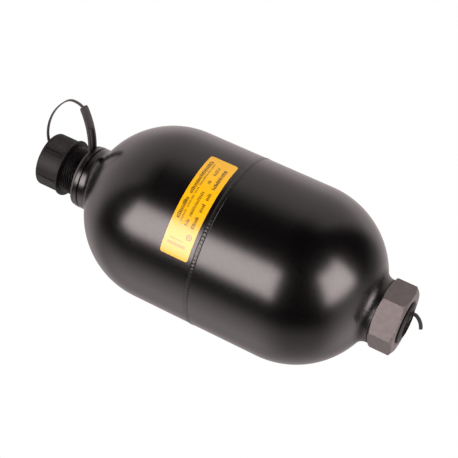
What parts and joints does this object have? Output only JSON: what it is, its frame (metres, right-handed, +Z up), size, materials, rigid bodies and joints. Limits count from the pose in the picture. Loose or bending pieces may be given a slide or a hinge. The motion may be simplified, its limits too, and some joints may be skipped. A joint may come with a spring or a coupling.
{
  "type": "bladder accumulator",
  "caption": "Small horizontal bladder accumulator: black welded steel shell, threaded gas neck with strapped screw cap, hexagon fluid port with transport plug.",
  "frame": {"origin": "on the axis at the middle of the clamp seat, the plain cylinder of the fluid-side half", "axes": "+X along the axis from the gas valve to the fluid port, +Z up with the part lying on a bench, the cap strap's loop above the axis"},
  "size_m": [0.2826, 0.1184, 0.1184],
  "materials": {
    "paint_black": "satin",
    "phosphated_steel": "matt machined, phosphated",
    "zinc_steel": "satin",
    "valve_steel": "machined",
    "spring_steel": "drawn wire",
    "brass": "machined",
    "rubber_black": "matt",
    "black_plastic": "moulded, slight sheen",
    "white_plastic": "matt",
    "label_yellow": "printed, glossy"
  },
  "bodies": {
    "shell": {"gas_side_shell": "paint_black", "fluid_side_shell": "paint_black", "weld_bead": "paint_black", "gas_neck_boss": "paint_black", "bladder_stem": "zinc_steel", "bladder": "rubber_black", "stem_o_ring": "rubber_black", "stem_washer": "zinc_steel", "stem_lock_nut": "zinc_steel", "gas_valve_body": "brass", "gas_valve_gasket": "rubber_black", "gas_valve_spring": "spring_steel", "fluid_port_body": "phosphated_steel", "port_o_ring": "rubber_black", "port_backup_ring": "white_plastic", "poppet_guide_bush": "brass", "poppet_spring": "spring_steel", "label": "label_yellow"},
    "strap": {"cap_strap": "black_plastic"},
    "cap": {"protective_cap": "black_plastic"},
    "plug": {"port_plug": "black_plastic"},
    "poppet": {"poppet": "valve_steel", "poppet_stop_nut": "zinc_steel"},
    "valve_pin": {"gas_valve_pin": "zinc_steel"}
  },
  "joints": [
    {"name": "cap_lift", "type": "slide", "parent": "shell", "child": "strap", "axis": [-1, 0, 0], "range_m": [0, 0.006]},
    {"name": "cap_turn", "type": "hinge", "parent": "strap", "child": "cap", "pos_m": [-0.15, 0, 0], "axis": [-1, 0, 0], "range_deg": [0, 1440]},
    {"name": "plug_pull", "type": "slide", "parent": "shell", "child": "plug", "axis": [1, 0, 0], "range_m": [0, 0.015]},
    {"name": "poppet_slide", "type": "slide", "parent": "shell", "child": "poppet", "axis": [1, 0, 0], "range_m": [0, 0.0045], "stiffness_N_per_m": 400, "springref_m": -0.0075, "deforming": ["poppet_spring"]},
    {"name": "valve_pin_slide", "type": "slide", "parent": "shell", "child": "valve_pin", "axis": [1, 0, 0], "range_m": [0, 0.0012], "stiffness_N_per_m": 800, "springref_m": -0.002, "deforming": ["gas_valve_spring"]}
  ],
  "couplings": [
    {"joint": "cap_lift", "follows": "cap_turn", "m_per_rad": 0.0002387}
  ]
}
